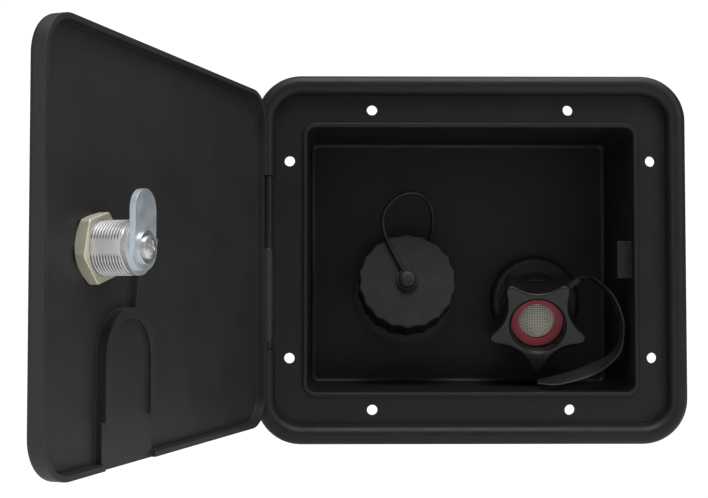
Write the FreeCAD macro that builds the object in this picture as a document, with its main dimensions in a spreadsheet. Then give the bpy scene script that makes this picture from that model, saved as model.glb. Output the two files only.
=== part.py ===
import FreeCAD, Part
import math
import os
import Sketcher
from types import SimpleNamespace
from FreeCAD import Placement, Rotation, Vector

# Flush water inlet hatch for a camper wall, in millimetres and degrees.
# The origin is the centre of the flange's wall side: X to the right seen from outside, Y into the wall, Z up.

doc = FreeCAD.newDocument("water_inlet_hatch")
sheet = doc.addObject("Spreadsheet::Sheet", "sizes")

SIZES = {
    # flange, rim and opening
    "open_w": 152.5,
    "open_h": 123.5,
    "open_r": 4.0,
    "wall": 2.2,
    "ledge_w": 12.65,
    "ledge_t": 2.5,
    "flange_r": 21.0,
    "rim_w": 8.9,
    "rim_h": 9.0,
    "roll_r": 4.2,
    "rim_wall": 2.2,
    "channel_deep": 5.5,
    "channel_stop": 3.0,
    "lip_rise": 1.5,
    "tub_depth": 55.0,
    "back_t": 2.5,
    "back_round": 4.0,
    "inner_round": 2.5,
    "lip_round": 0.8,
    # screw holes in the ledge
    "hole_r": 2.45,
    "hole_in": 6.1,
    "side_hole_z": 46.0,
    "end_hole_x": 46.0,
    # hinge
    "hinge_in": 3.4,
    "hinge_lift": 5.5,
    "barrel_r": 2.6,
    "pin_r": 1.25,
    "pin_gap": 0.05,
    "pin_press": 0.01,
    "barrel_top": 38.5,
    "barrel_split": 5.0,
    "barrel_low": -37.5,
    "barrel_end": -41.5,
    "barrel_gap": 0.3,
    "door_open": 108.8,
    # door
    "door_gap_x": 1.6,
    "door_gap_z": 0.85,
    "door_lift": 1.25,
    "door_t": 6.75,
    "door_lip_h": 4.0,
    "door_lip_t": 2.0,
    "door_r": 15.2,
    "door_edge_r": 2.4,
    "pull_aside": 2.8,
    "pull_w": 35.1,
    "pull_drop": 20.5,
    "pull_wall": 2.2,
    "pull_rib": 3.4,
    "step_gap": 2.25,
    "step_deep": 1.6,
    "relief_deep": 1.2,
    "rib_w": 2.0,
    "rib_h": 3.0,
    "rib_len": 14.0,
    "rib_aside": 6.0,
    "rib_lean": 2.4,
    # cam lock
    "lock_inset": 21.75,
    "lock_z": 0.0,
    "lock_r": 9.5,
    "lock_flat": 8.7,
    "lock_hole_gap": 0.1,
    "lock_len": 16.15,
    "head_r": 11.5,
    "head_h": 2.0,
    "lock_nut_flats": 22.5,
    "lock_nut_t": 4.4,
    "lock_nut_round": 2.4,
    "plug_r": 6.4,
    "turn_gap": 0.05,
    "drive_half": 3.4,
    "drive_gap": 0.05,
    "cam_gap": 0.3,
    "stop_r": 9.4,
    "stop_t": 1.6,
    "stop_tab_r": 12.3,
    "stop_tab_low": 1.2,
    "stop_tab_w": 2.2,
    "cam_t": 2.2,
    "cam_r": 7.7,
    "cam_w": 14.4,
    "cam_tip": 19.8,
    "cam_washer_r": 5.7,
    "cam_washer_t": 0.9,
    "screw_head_r": 3.9,
    "screw_head_h": 2.0,
    "screw_r": 2.0,
    "screw_len": 9.0,
    "screw_gap": 0.05,
    "screw_round": 1.2,
    "cross_w": 1.0,
    "cross_reach": 2.3,
    "cross_deep": 1.3,
    "key_w": 1.4,
    "key_h": 7.2,
    "key_deep": 3.0,
    # strike for the cam on the tub's wall
    "strike_reach": 6.5,
    "strike_y": 1.5,
    "strike_t": 7.6,
    "strike_half": 8.7,
    # gravity fill
    "fill_x": -28.0,
    "fill_z": -17.0,
    "fill_tilt": 15.0,
    "fill_base_r": 26.4,
    "fill_base_t": 3.0,
    "fill_neck_r": 19.5,
    "fill_bore_r": 16.0,
    "shoulder_r": 18.5,
    "spigot_r": 17.5,
    "spigot_bore_r": 15.0,
    "spigot_len": 38.0,
    "pipe_gap": 0.2,
    "cap_face": 29.0,
    "cap_r": 24.3,
    "cap_h": 17.0,
    "cap_wall": 2.6,
    "cap_gap": 0.5,
    "cap_edge": 1.0,
    "scallop_r": 6.0,
    "scallop_deep": 0.9,
    "scallops": 18.0,
    "stud_r": 3.0,
    "stud_head_r": 4.4,
    "stud_h": 3.2,
    "stud_head_h": 1.6,
    "tether_w": 2.2,
    "tether_t": 1.6,
    "tether_run": 40.0,
    "eye_w": 2.4,
    "eye_gap": 0.8,
    "ring_t": 1.2,
    "ring_w": 4.0,
    "ring_gap": 0.3,
    # city inlet
    "inlet_x": 38.5,
    "inlet_z": -20.0,
    "inlet_down": 17.0,
    "inlet_left": 6.0,
    "inlet_base_r": 22.5,
    "inlet_base_t": 10.0,
    "inlet_base_round": 3.0,
    "hub_r": 17.0,
    "hub_len": 19.0,
    "neck_r": 10.5,
    "neck_gap": 0.1,
    "nut_h": 20.0,
    "nut_r": 24.3,
    "nut_valley_r": 20.0,
    "nut_valley_off": 36.2,
    "nut_thread_r": 13.35,
    "nut_thread_deep": 6.0,
    "nut_seat_r": 13.0,
    "nut_seat_deep": 7.0,
    "nut_gap": 1.8,
    "nut_turn": 12.2,
    "nut_tip_round": 1.2,
    "nut_edge_round": 0.9,
    "collar_r": 12.6,
    "collar_t": 2.0,
    "collar_gap": 0.4,
    "washer_r": 12.6,
    "washer_hole_r": 8.7,
    "washer_t": 3.0,
    "screen_r": 8.6,
    "screen_rise": 3.2,
    "tail_root_r": 11.4,
    "tail_r": 10.4,
    "tail_bore_r": 7.5,
    "tail_len": 26.0,
    "tail_nut_flats": 32.0,
    "tail_nut_t": 8.0,
    "strap_w": 9.0,
    "strap_t": 1.4,
    "strap_aside": 3.7,
    "strap_low": 3.4,
    "screen_step": 1.0,
}
for row, (alias, value) in enumerate(SIZES.items(), start=1):
    sheet.set("A%d" % row, alias)
    sheet.set("B%d" % row, str(value))
    sheet.setAlias("B%d" % row, alias)
doc.recompute()


class Size:
    """A number together with the sheet formula it comes from."""

    def __init__(self, value, text):
        self.value = value
        self.text = text

    def __add__(self, other):
        other = size(other)
        return Size(self.value + other.value, "(%s + %s)" % (self.text, other.text))

    def __sub__(self, other):
        other = size(other)
        return Size(self.value - other.value, "(%s - %s)" % (self.text, other.text))

    def __mul__(self, other):
        other = size(other)
        return Size(self.value * other.value, "(%s * %s)" % (self.text, other.text))

    def __truediv__(self, other):
        other = size(other)
        return Size(self.value / other.value, "(%s / %s)" % (self.text, other.text))

    def __neg__(self):
        return Size(-self.value, "(0 - %s)" % self.text)

    def __radd__(self, other):
        return size(other) + self

    def __rsub__(self, other):
        return size(other) - self

    def __rmul__(self, other):
        return size(other) * self


def size(value):
    if isinstance(value, Size):
        return value
    return Size(float(value), repr(float(value)))


S = SimpleNamespace(**{alias: Size(float(sheet.get(alias)), "sizes." + alias) for alias in SIZES})
nodes = []


def bind(obj, path, value):
    obj.setExpression(path, size(value).text)


def new_body(label):
    body = doc.addObject("PartDesign::Body", label)
    body.Label = label
    nodes.append(body)
    return body


def origin_item(body, role):
    return [item for item in body.Origin.OriginFeatures if item.Role == role][0]


def sketch(body, name, level, plane="XZ_Plane"):
    """A sketch on an origin plane, moved along Y to a level, or along Z for the XY plane."""
    sk = body.newObject("Sketcher::SketchObject", name)
    sk.AttachmentSupport = [(origin_item(body, plane), "")]
    sk.MapMode = "FlatFace"
    level = size(level)
    shift = level if plane == "XY_Plane" else -level
    sk.AttachmentOffset = Placement(Vector(0, 0, shift.value), Rotation())
    bind(sk, "AttachmentOffset.Base.z", shift)
    return sk


def pin_point(sk, geo, pos, x, z):
    for kind, value, axis in (("DistanceX", size(x), -2), ("DistanceY", size(z), -1)):
        if value.value == 0:
            sk.addConstraint(Sketcher.Constraint("PointOnObject", geo, pos, axis))
            continue
        index = sk.addConstraint(Sketcher.Constraint(kind, -1, 1, geo, pos, value.value))
        bind(sk, "Constraints[%d]" % index, value)


def circle(sk, x, z, r):
    x, z, r = size(x), size(z), size(r)
    geo = sk.addGeometry(Part.Circle(Vector(x.value, z.value, 0), Vector(0, 0, 1), r.value))
    pin_point(sk, geo, 3, x, z)
    index = sk.addConstraint(Sketcher.Constraint("Radius", geo, r.value))
    bind(sk, "Constraints[%d]" % index, r)


def polygon(sk, points):
    points = [(size(x), size(z)) for x, z in points]
    flat = [Vector(x.value, z.value, 0) for x, z in points]
    lines = [sk.addGeometry(Part.LineSegment(a, b)) for a, b in zip(flat, flat[1:] + flat[:1])]
    for a, b in zip(lines, lines[1:] + lines[:1]):
        sk.addConstraint(Sketcher.Constraint("Coincident", a, 2, b, 1))
    for line, (x, z) in zip(lines, points):
        pin_point(sk, line, 1, x, z)


def box_outline(sk, x0, x1, z0, z1):
    polygon(sk, [(x0, z0), (x1, z0), (x1, z1), (x0, z1)])


def rounded(sk, x0, x1, z0, z1, r):
    """A rectangle with round corners."""
    x0, x1, z0, z1, r = (size(v) for v in (x0, x1, z0, z1, r))
    a, b, c, d, k = x0.value, x1.value, z0.value, z1.value, r.value
    ends = [
        (Vector(a + k, c, 0), Vector(b - k, c, 0)),
        (Vector(b, c + k, 0), Vector(b, d - k, 0)),
        (Vector(b - k, d, 0), Vector(a + k, d, 0)),
        (Vector(a, d - k, 0), Vector(a, c + k, 0)),
    ]
    lines = [sk.addGeometry(Part.LineSegment(p, q)) for p, q in ends]
    centres = [(b - k, c + k, -90), (b - k, d - k, 0), (a + k, d - k, 90), (a + k, c + k, 180)]
    arcs = []
    for place, (cx, cz, start) in enumerate(centres):
        ring = Part.Circle(Vector(cx, cz, 0), Vector(0, 0, 1), k)
        arc = sk.addGeometry(Part.ArcOfCircle(ring, math.radians(start), math.radians(start + 90)))
        sk.addConstraint(Sketcher.Constraint("Tangent", lines[place], 2, arc, 1))
        sk.addConstraint(Sketcher.Constraint("Tangent", arc, 2, lines[(place + 1) % 4], 1))
        arcs.append(arc)
    for line, kind in zip(lines, ("Horizontal", "Vertical", "Horizontal", "Vertical")):
        sk.addConstraint(Sketcher.Constraint(kind, line))
    for arc in arcs[1:]:
        sk.addConstraint(Sketcher.Constraint("Equal", arcs[0], arc))
    index = sk.addConstraint(Sketcher.Constraint("Radius", arcs[0], k))
    bind(sk, "Constraints[%d]" % index, r)
    kinds = ("DistanceY", "DistanceX", "DistanceY", "DistanceX")
    for line, kind, value in zip(lines, kinds, (z0, x1, z1, x0)):
        index = sk.addConstraint(Sketcher.Constraint(kind, -1, 1, line, 1, value.value))
        bind(sk, "Constraints[%d]" % index, value)


def arch(sk, x0, x1, z0, z1):
    """An upright outline with a full round top."""
    x0, x1, z0, z1 = (size(v) for v in (x0, x1, z0, z1))
    half = (x1 - x0) / 2
    mid = (x0 + x1) / 2
    spring = z1 - half
    a, b, c, d = x0.value, x1.value, z0.value, spring.value
    low = sk.addGeometry(Part.LineSegment(Vector(a, c, 0), Vector(b, c, 0)))
    right = sk.addGeometry(Part.LineSegment(Vector(b, c, 0), Vector(b, d, 0)))
    top = Part.Circle(Vector(mid.value, d, 0), Vector(0, 0, 1), half.value)
    top = sk.addGeometry(Part.ArcOfCircle(top, 0, math.pi))
    left = sk.addGeometry(Part.LineSegment(Vector(a, d, 0), Vector(a, c, 0)))
    sk.addConstraint(Sketcher.Constraint("Coincident", low, 2, right, 1))
    sk.addConstraint(Sketcher.Constraint("Tangent", right, 2, top, 1))
    sk.addConstraint(Sketcher.Constraint("Tangent", top, 2, left, 1))
    sk.addConstraint(Sketcher.Constraint("Coincident", left, 2, low, 1))
    sk.addConstraint(Sketcher.Constraint("Vertical", right))
    sk.addConstraint(Sketcher.Constraint("Vertical", left))
    pin_point(sk, low, 1, x0, z0)
    pin_point(sk, low, 2, x1, z0)
    index = sk.addConstraint(Sketcher.Constraint("DistanceY", -1, 1, top, 3, d))
    bind(sk, "Constraints[%d]" % index, spring)


def feature(body, kind, name, sk, length, reverse):
    made = body.newObject("PartDesign::" + kind, name)
    made.Profile = sk
    made.Length = size(length).value
    bind(made, "Length", length)
    made.Reversed = reverse
    return made


def pad(body, name, sk, length, inward=False):
    return feature(body, "Pad", name, sk, length, inward)


def pocket(body, name, sk, length, outward=False):
    return feature(body, "Pocket", name, sk, length, outward)


def block(body, kind, name, x0, x1, y0, y1, z0, z1):
    """An added or taken box between two corners."""
    made = body.newObject("PartDesign::%sBox" % kind, name)
    low = [size(v) for v in (x0, y0, z0)]
    high = [size(v) for v in (x1, y1, z1)]
    for prop, axis, a, b in zip(("Length", "Width", "Height"), "xyz", low, high):
        setattr(made, prop, (b - a).value)
        bind(made, prop, b - a)
        bind(made, "Placement.Base." + axis, a)
    return made


def rod(body, kind, name, r, x, y, z0, z1):
    """An added or taken upright cylinder."""
    made = body.newObject("PartDesign::%sCylinder" % kind, name)
    made.Radius = size(r).value
    bind(made, "Radius", r)
    made.Height = (size(z1) - z0).value
    bind(made, "Height", size(z1) - z0)
    for axis, value in zip("xyz", (x, y, z0)):
        bind(made, "Placement.Base." + axis, value)
    return made


def round_edges(body, name, base, radius, wanted):
    doc.recompute()
    made = body.newObject("PartDesign::Fillet", name)
    found = ["Edge%d" % (i + 1) for i, edge in enumerate(base.Shape.Edges) if wanted(edge)]
    made.Base = (base, found)
    made.Radius = size(radius).value
    bind(made, "Radius", radius)
    return made


def at_level(edge, level):
    box = edge.BoundBox
    return abs(box.YMin - level) < 1e-4 and abs(box.YMax - level) < 1e-4


def runs_along(edge, way):
    """Whether an edge is a straight corner line along a direction."""
    if len(edge.Vertexes) != 2 or edge.Curve.TypeId != "Part::GeomLine":
        return False
    return abs(abs(edge.tangentAt(edge.FirstParameter).dot(way)) - 1) < 1e-6


def cylinder(name, r, length, base, direction):
    """A plain cylinder from a point along a direction."""
    made = doc.addObject("Part::Cylinder", name)
    bind(made, "Radius", r)
    bind(made, "Height", length)
    made.Radius = size(r).value
    made.Height = size(length).value
    made.Placement = Placement(base, Rotation(Vector(0, 0, 1), direction))
    return made


def fuse(name, parts):
    made = doc.addObject("Part::MultiFuse", name)
    made.Shapes = parts
    return made


def cut(name, base, tool):
    made = doc.addObject("Part::Cut", name)
    made.Base = base
    made.Tool = tool
    return made


def ribbon(points, across, width, thick, steps=6):
    """A flat strap along a smooth path through the points, its width along the given directions."""
    curve = Part.BSplineCurve()
    curve.interpolate(points)
    stops = [curve.parameter(point) for point in points]
    wires = []
    for i in range(len(points) - 1):
        last = i == len(points) - 2
        for j in range(steps + 1 if last else steps):
            share = j / steps
            at = stops[i] + (stops[i + 1] - stops[i]) * share
            point = curve.value(at)
            along = Vector(*curve.tangent(at)[0])
            wide = across[i] * (1 - share) + across[i + 1] * share
            wide = wide - along * wide.dot(along)
            wide.normalize()
            thin = along.cross(wide)
            a, b = wide * (width / 2), thin * (thick / 2)
            corners = [point + a + b, point - a + b, point - a - b, point + a - b]
            wires.append(Part.makePolygon(corners + corners[:1]))
    return Part.makeLoft(wires, True, True)


in_w = S.open_w / 2 + S.wall + S.ledge_w
in_h = S.open_h / 2 + S.wall + S.ledge_w
half_w = in_w + S.rim_w
half_h = in_h + S.rim_w
hinge_x = -(in_w + S.hinge_in)
hinge_y = -S.hinge_lift
past = 1.0

# Frame: one moulding with a rolled rim, a ledge with the screw holes, a lip and the tub.
frame = new_body("hatch_frame")
sk = sketch(frame, "flange_outline", 0)
rounded(sk, -half_w, half_w, -half_h, half_h, S.flange_r)
pad(frame, "flange", sk, S.rim_h)
sk = sketch(frame, "recess_outline", -S.rim_h)
rounded(sk, -in_w, in_w, -in_h, in_h, S.flange_r - S.rim_w)
recess = pocket(frame, "recess", sk, S.rim_h - S.ledge_t)
round_edges(frame, "rolled_rim", recess, S.roll_r, lambda e: at_level(e, -S.rim_h.value))
sk = sketch(frame, "channel_outline", 0)
chan_w = half_w - S.rim_wall
chan_h = half_h - S.rim_wall
rounded(sk, -chan_w, chan_w, -chan_h, chan_h, S.flange_r - S.rim_wall)
rim_in_w = in_w + S.rim_wall
rim_in_h = in_h + S.rim_wall
rounded(sk, -rim_in_w, rim_in_w, -rim_in_h, rim_in_h, S.flange_r - S.rim_w + S.rim_wall)
pocket(frame, "rim_channel", sk, S.channel_deep, outward=True)
gap_0 = S.barrel_end - S.barrel_gap
gap_1 = S.barrel_top + S.barrel_gap
sunk = S.rim_wall / 2
root = (-chan_w - sunk, -rim_in_w + sunk, -S.channel_deep - sunk, 0)
block(frame, "Additive", "hinge_root", *root, gap_0 - S.channel_stop, gap_1 + S.channel_stop)
gap = (-half_w - past, -in_w + 0.4, -S.rim_h - past, -S.ledge_t, gap_0, gap_1)
block(frame, "Subtractive", "hinge_gap", *gap)
tub_w = S.open_w / 2 + S.wall
tub_h = S.open_h / 2 + S.wall
sk = sketch(frame, "tub_outline", 0)
rounded(sk, -tub_w, tub_w, -tub_h, tub_h, S.open_r + S.wall)
tub_y = S.tub_depth + S.back_t
tub = pad(frame, "tub", sk, tub_y, inward=True)
round_edges(frame, "tub_back", tub, S.back_round, lambda e: at_level(e, tub_y.value))
sk = sketch(frame, "lip_outline", 0)
rounded(sk, -tub_w, tub_w, -tub_h, tub_h, S.open_r + S.wall)
lip_y = S.ledge_t + S.lip_rise
pad(frame, "lip", sk, lip_y)
sk = sketch(frame, "opening_outline", -lip_y)
rounded(sk, -S.open_w / 2, S.open_w / 2, -S.open_h / 2, S.open_h / 2, S.open_r)
opening = pocket(frame, "opening", sk, lip_y + S.tub_depth)
inside = round_edges(frame, "tub_inside", opening, S.inner_round, lambda e: at_level(e, S.tub_depth.value))
round_edges(frame, "lip_edge", inside, S.lip_round, lambda e: at_level(e, -lip_y.value))
sk = sketch(frame, "screw_hole_centres", -S.ledge_t)
for sx in (-1, 1):
    for sz in (-1, 1):
        circle(sk, (tub_w + S.hole_in) * sx, S.side_hole_z * sz, S.hole_r)
        circle(sk, S.end_hole_x * sx, (tub_h + S.hole_in) * sz, S.hole_r)
pocket(frame, "screw_holes", sk, S.ledge_t + past)
for name, z0, z1 in (("upper", S.barrel_split, S.barrel_top), ("lower", S.barrel_end, S.barrel_low)):
    rod(frame, "Additive", name + "_knuckle", S.barrel_r, hinge_x, hinge_y, z0, z1)
    foot = (hinge_x - S.barrel_r, hinge_x + S.barrel_r, hinge_y, -S.ledge_t / 2, z0, z1)
    block(frame, "Additive", name + "_knuckle_foot", *foot)
rod(frame, "Subtractive", "pin_hole", S.pin_r + S.pin_press, hinge_x, hinge_y, gap_0 - past, gap_1 + past)
strike_y = S.strike_y + S.strike_t
strike = (S.open_w / 2 - S.strike_reach, S.open_w / 2 + S.wall / 2, S.strike_y, strike_y)
block(frame, "Additive", "strike", *strike, S.lock_z - S.strike_half, S.lock_z + S.strike_half)
sk = sketch(frame, "pipe_holes_outline", S.tub_depth)
circle(sk, S.fill_x, S.fill_z, S.shoulder_r + S.pipe_gap)
circle(sk, S.inlet_x, S.inlet_z, S.tail_root_r + S.pipe_gap)
pocket(frame, "pipe_holes", sk, S.back_t + past)

# Hinge pin: a steel rod pressed into the frame's two knuckles.
pin = doc.addObject("Part::Cylinder", "hinge_pin")
pin.Label = "hinge_pin"
bind(pin, "Radius", S.pin_r)
bind(pin, "Height", S.barrel_top - S.barrel_end)
for axis, value in zip("xyz", (hinge_x, hinge_y, S.barrel_end)):
    bind(pin, "Placement.Base." + axis, value)
nodes.append(pin)


def on_door(body):
    """Hang a piece on the hinge: its own X runs to the free edge, Y out of the inner face, Z up."""
    swing = Rotation(Vector(0, 0, 1), -S.door_open.value)
    body.Placement = Placement(Vector(hinge_x.value, hinge_y.value, 0), swing)
    bind(body, "Placement.Base.x", hinge_x)
    bind(body, "Placement.Base.y", hinge_y)
    bind(body, "Placement.Rotation.Angle", -S.door_open)


n_lip = S.hinge_lift - S.ledge_t - S.door_lift
n_panel = n_lip - S.door_lip_h
n_out = n_lip - S.door_t
edge_0 = S.hinge_in + S.door_gap_x
edge_1 = S.hinge_in + in_w * 2 - S.door_gap_x
edge_z = in_h - S.door_gap_z
lock_u = S.open_w / 2 - hinge_x - S.lock_inset

# Door: a shallow moulded tray with a finger pull at its lower edge and a hinge knuckle.
door = new_body("door_panel")
sk = sketch(door, "door_outline", n_lip)
rounded(sk, edge_0, edge_1, -edge_z, edge_z, S.door_r)
pad(door, "door_slab", sk, S.door_t)
sk = sketch(door, "tray_outline", n_lip)
tray_z = edge_z - S.door_lip_t
rounded(sk, edge_0 + S.door_lip_t, edge_1 - S.door_lip_t, -tray_z, tray_z, S.door_r - S.door_lip_t)
tray = pocket(door, "tray", sk, S.door_lip_h, outward=True)
round_edges(door, "outer_edge", tray, S.door_edge_r, lambda e: at_level(e, n_out.value))
pull_1 = lock_u - S.pull_aside
pull_0 = pull_1 - S.pull_w
pull_top = S.lock_z - S.pull_drop
step_z = S.step_gap - S.open_h / 2
sk = sketch(door, "pull_outline", n_lip)
arch(sk, pull_0, pull_1, -edge_z, pull_top)
pad(door, "pull_boss", sk, (S.door_lip_h + S.door_t) / 2)
sk = sketch(door, "dish_outline", n_lip)
arch(sk, pull_0 + S.pull_rib, pull_1 - S.pull_rib, step_z - past, pull_top - S.pull_rib)
pocket(door, "dish", sk, S.step_deep, outward=True)
step = (pull_0, pull_1, n_lip - S.step_deep, n_lip + past, -edge_z - past, step_z)
block(door, "Subtractive", "pull_step", *step)
sk = sketch(door, "pull_hollow_outline", n_out)
arch(sk, pull_0 + S.pull_wall, pull_1 - S.pull_wall, -edge_z - past, pull_top - S.pull_wall)
pocket(door, "pull_hollow", sk, S.door_t - S.pull_wall - S.step_deep)
sk = sketch(door, "rib_outline", n_panel - S.pull_wall / 2)
rib_0 = (pull_0 + pull_1) / 2 - S.rib_aside
rib_1 = rib_0 + S.rib_w
rib_low = pull_top - S.pull_rib / 2
rib_top = pull_top + S.rib_len
rib_foot = [(rib_0, rib_low), (rib_1, rib_low)]
polygon(sk, rib_foot + [(rib_1 - S.rib_lean, rib_top), (rib_0 - S.rib_lean, rib_top)])
pad(door, "rib", sk, S.rib_h + S.pull_wall / 2, inward=True)
relief = (edge_0 - past, edge_0 + S.door_lip_t, n_lip - S.relief_deep, n_lip + past)
block(door, "Subtractive", "hinge_relief", *relief, S.barrel_low, S.barrel_top)
knuckle_0 = S.barrel_low + S.barrel_gap
knuckle_1 = S.barrel_split - S.barrel_gap
rod(door, "Additive", "door_knuckle", S.barrel_r, 0, 0, knuckle_0, knuckle_1)
web = (0, edge_0 + S.door_lip_t / 2, -S.barrel_r, 0.2, knuckle_0, knuckle_1)
block(door, "Additive", "door_knuckle_web", *web)
rod(door, "Subtractive", "door_pin_hole", S.pin_r + S.pin_gap, 0, 0, knuckle_0 - past, knuckle_1 + past)
sk = sketch(door, "lock_hole_outline", n_panel)
circle(sk, lock_u, S.lock_z, S.lock_r + S.lock_hole_gap)
pocket(door, "lock_hole", sk, S.door_t, outward=True)
on_door(door)

lock_end = n_panel + S.lock_len

# Cam lock body: a round head outside the door and a threaded barrel with two flats inside.
lock = new_body("lock_body")
sk = sketch(lock, "lock_barrel_outline", n_out)
circle(sk, lock_u, S.lock_z, S.lock_r)
pad(lock, "lock_barrel", sk, lock_end - n_out, inward=True)
sk = sketch(lock, "lock_head_outline", n_out)
circle(sk, lock_u, S.lock_z, S.head_r)
pad(lock, "lock_head", sk, S.head_h)
sk = sketch(lock, "lock_flat_outline", n_panel)
for side in (-1, 1):
    near = lock_u + S.lock_flat * side
    far = lock_u + (S.lock_r + past) * side
    left, right = (far, near) if side < 0 else (near, far)
    box_outline(sk, left, right, S.lock_z - S.lock_r - past, S.lock_z + S.lock_r + past)
pocket(lock, "lock_flats", sk, S.lock_len + past)
sk = sketch(lock, "lock_bore_outline", n_out - S.head_h)
circle(sk, lock_u, S.lock_z, S.plug_r + S.turn_gap)
pocket(lock, "lock_bore", sk, lock_end - n_out + S.head_h + past)
on_door(lock)

# Hexagon nut that clamps the lock to the door.
lock_nut = new_body("lock_nut")
sk = sketch(lock_nut, "lock_nut_outline", n_panel)
corner = S.lock_nut_flats / math.sqrt(3)
turns = [math.radians(90 + 60 * i) for i in range(6)]
turns = [(round(math.cos(a), 9), round(math.sin(a), 9)) for a in turns]
polygon(sk, [(lock_u + corner * c, S.lock_z + corner * s) for c, s in turns])
circle(sk, lock_u, S.lock_z, S.lock_r + S.lock_hole_gap)
nut_plate = pad(lock_nut, "lock_nut_plate", sk, S.lock_nut_t, inward=True)
round_edges(lock_nut, "lock_nut_corners", nut_plate, S.lock_nut_round, lambda e: runs_along(e, Vector(0, 1, 0)))
on_door(lock_nut)

# Keyed plug that turns in the lock body, with a square drive for the cam and a slot for the key.
plug = new_body("lock_plug")
sk = sketch(plug, "plug_outline", n_out - S.head_h)
circle(sk, lock_u, S.lock_z, S.plug_r)
pad(plug, "plug_round", sk, lock_end - n_out + S.head_h + S.cam_gap, inward=True)
stop_n = lock_end + S.cam_gap
cam_n = stop_n + S.stop_t
sk = sketch(plug, "drive_outline", stop_n)
half = S.drive_half
box_outline(sk, lock_u - half, lock_u + half, S.lock_z - half, S.lock_z + half)
pad(plug, "drive", sk, S.stop_t + S.cam_t, inward=True)
sk = sketch(plug, "screw_bore_outline", cam_n + S.cam_t)
circle(sk, lock_u, S.lock_z, S.screw_r + S.screw_gap)
pocket(plug, "screw_bore", sk, S.screw_len, outward=True)
sk = sketch(plug, "key_slot_outline", n_out - S.head_h)
key = S.key_h / 2
box_outline(sk, lock_u - S.key_w / 2, lock_u + S.key_w / 2, S.lock_z - key, S.lock_z + key)
pocket(plug, "key_slot", sk, S.key_deep)
on_door(plug)

# Stop washer: it turns with the plug, and its tab stops the quarter turn.
stop = new_body("stop_washer")
sk = sketch(stop, "stop_outline", stop_n)
circle(sk, lock_u, S.lock_z, S.stop_r)
pad(stop, "stop_round", sk, S.stop_t, inward=True)
tab_z = S.lock_z + S.stop_tab_low
sk = sketch(stop, "stop_tab_outline", stop_n)
box_outline(sk, lock_u - S.stop_tab_r, lock_u - S.stop_r / 2, tab_z, tab_z + S.stop_tab_w)
pad(stop, "stop_tab", sk, S.stop_t, inward=True)
reach = S.drive_half + S.drive_gap
sk = sketch(stop, "stop_hole_outline", stop_n)
box_outline(sk, lock_u - reach, lock_u + reach, S.lock_z - reach, S.lock_z + reach)
pocket(stop, "stop_hole", sk, S.stop_t + past)
on_door(stop)

# Cam: a flat steel tongue with round ends on the plug's square drive.
cam = new_body("lock_cam")
sk = sketch(cam, "cam_round_outline", cam_n)
circle(sk, lock_u, S.lock_z, S.cam_r)
pad(cam, "cam_round", sk, S.cam_t, inward=True)
sk = sketch(cam, "cam_tongue_outline", cam_n)
arch(sk, lock_u - S.cam_w / 2, lock_u + S.cam_w / 2, S.lock_z, S.lock_z + S.cam_tip)
pad(cam, "cam_tongue", sk, S.cam_t, inward=True)
sk = sketch(cam, "cam_hole_outline", cam_n)
box_outline(sk, lock_u - reach, lock_u + reach, S.lock_z - reach, S.lock_z + reach)
pocket(cam, "cam_hole", sk, S.cam_t + past)
on_door(cam)

# Washer and cross-head screw that hold the cam.
washer_n = cam_n + S.cam_t
cam_washer = new_body("cam_washer")
sk = sketch(cam_washer, "cam_washer_outline", washer_n)
circle(sk, lock_u, S.lock_z, S.cam_washer_r)
circle(sk, lock_u, S.lock_z, S.screw_r + S.screw_gap)
pad(cam_washer, "cam_washer_plate", sk, S.cam_washer_t, inward=True)
on_door(cam_washer)
screw_n = washer_n + S.cam_washer_t
screw = new_body("cam_screw")
sk = sketch(screw, "screw_head_outline", screw_n)
circle(sk, lock_u, S.lock_z, S.screw_head_r)
head = pad(screw, "screw_head", sk, S.screw_head_h, inward=True)
round_edges(screw, "screw_dome", head, S.screw_round, lambda e: at_level(e, (screw_n + S.screw_head_h).value))
sk = sketch(screw, "screw_shank_outline", screw_n)
circle(sk, lock_u, S.lock_z, S.screw_r)
pad(screw, "screw_shank", sk, S.screw_len)
sk = sketch(screw, "screw_cross_outline", screw_n + S.screw_head_h)
arm = S.cross_reach
slot = S.cross_w / 2
box_outline(sk, lock_u - slot, lock_u + slot, S.lock_z - arm, S.lock_z + arm)
pocket(screw, "screw_cross_up", sk, S.cross_deep, outward=True)
sk = sketch(screw, "screw_cross_side_outline", screw_n + S.screw_head_h)
box_outline(sk, lock_u - arm, lock_u + arm, S.lock_z - slot, S.lock_z + slot)
pocket(screw, "screw_cross_side", sk, S.cross_deep, outward=True)
on_door(screw)

# Gravity fill neck: a flange on the tub's back, a neck that looks up a little, and a hose spigot behind.
INTO = Vector(0, 1, 0)
fill_tilt = math.radians(S.fill_tilt.value)
fill_dir = Vector(0, -math.cos(fill_tilt), math.sin(fill_tilt))
fill_foot = Vector(S.fill_x.value, S.tub_depth.value, S.fill_z.value)
cap_face = fill_foot + fill_dir * S.cap_face.value
cap_foot = cap_face - fill_dir * S.cap_h.value
buried = S.spigot_r / 2
neck_len = S.cap_face - S.cap_wall - S.cap_gap + buried
neck = cylinder("neck_round", S.fill_neck_r, neck_len, fill_foot - fill_dir * buried.value, fill_dir)
behind = doc.addObject("Part::Box", "behind_tub")
for prop in ("Length", "Width", "Height"):
    bind(behind, prop, S.open_w * 2)
behind.Placement = Placement(Vector(-S.open_w.value, S.tub_depth.value, -S.open_w.value), Rotation())
neck_front = cut("neck_front", neck, behind)
base = cylinder("fill_base", S.fill_base_r, S.fill_base_t, fill_foot, -INTO)
shoulder = cylinder("fill_shoulder", S.shoulder_r, S.back_t, fill_foot, INTO)
spigot = cylinder("fill_spigot", S.spigot_r, S.spigot_len + S.back_t, fill_foot, INTO)
neck_solid = fuse("fill_solid", [neck_front, base, shoulder, spigot])
neck_bore = cylinder("neck_bore", S.fill_bore_r, S.cap_face * 2, fill_foot, fill_dir)
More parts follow.
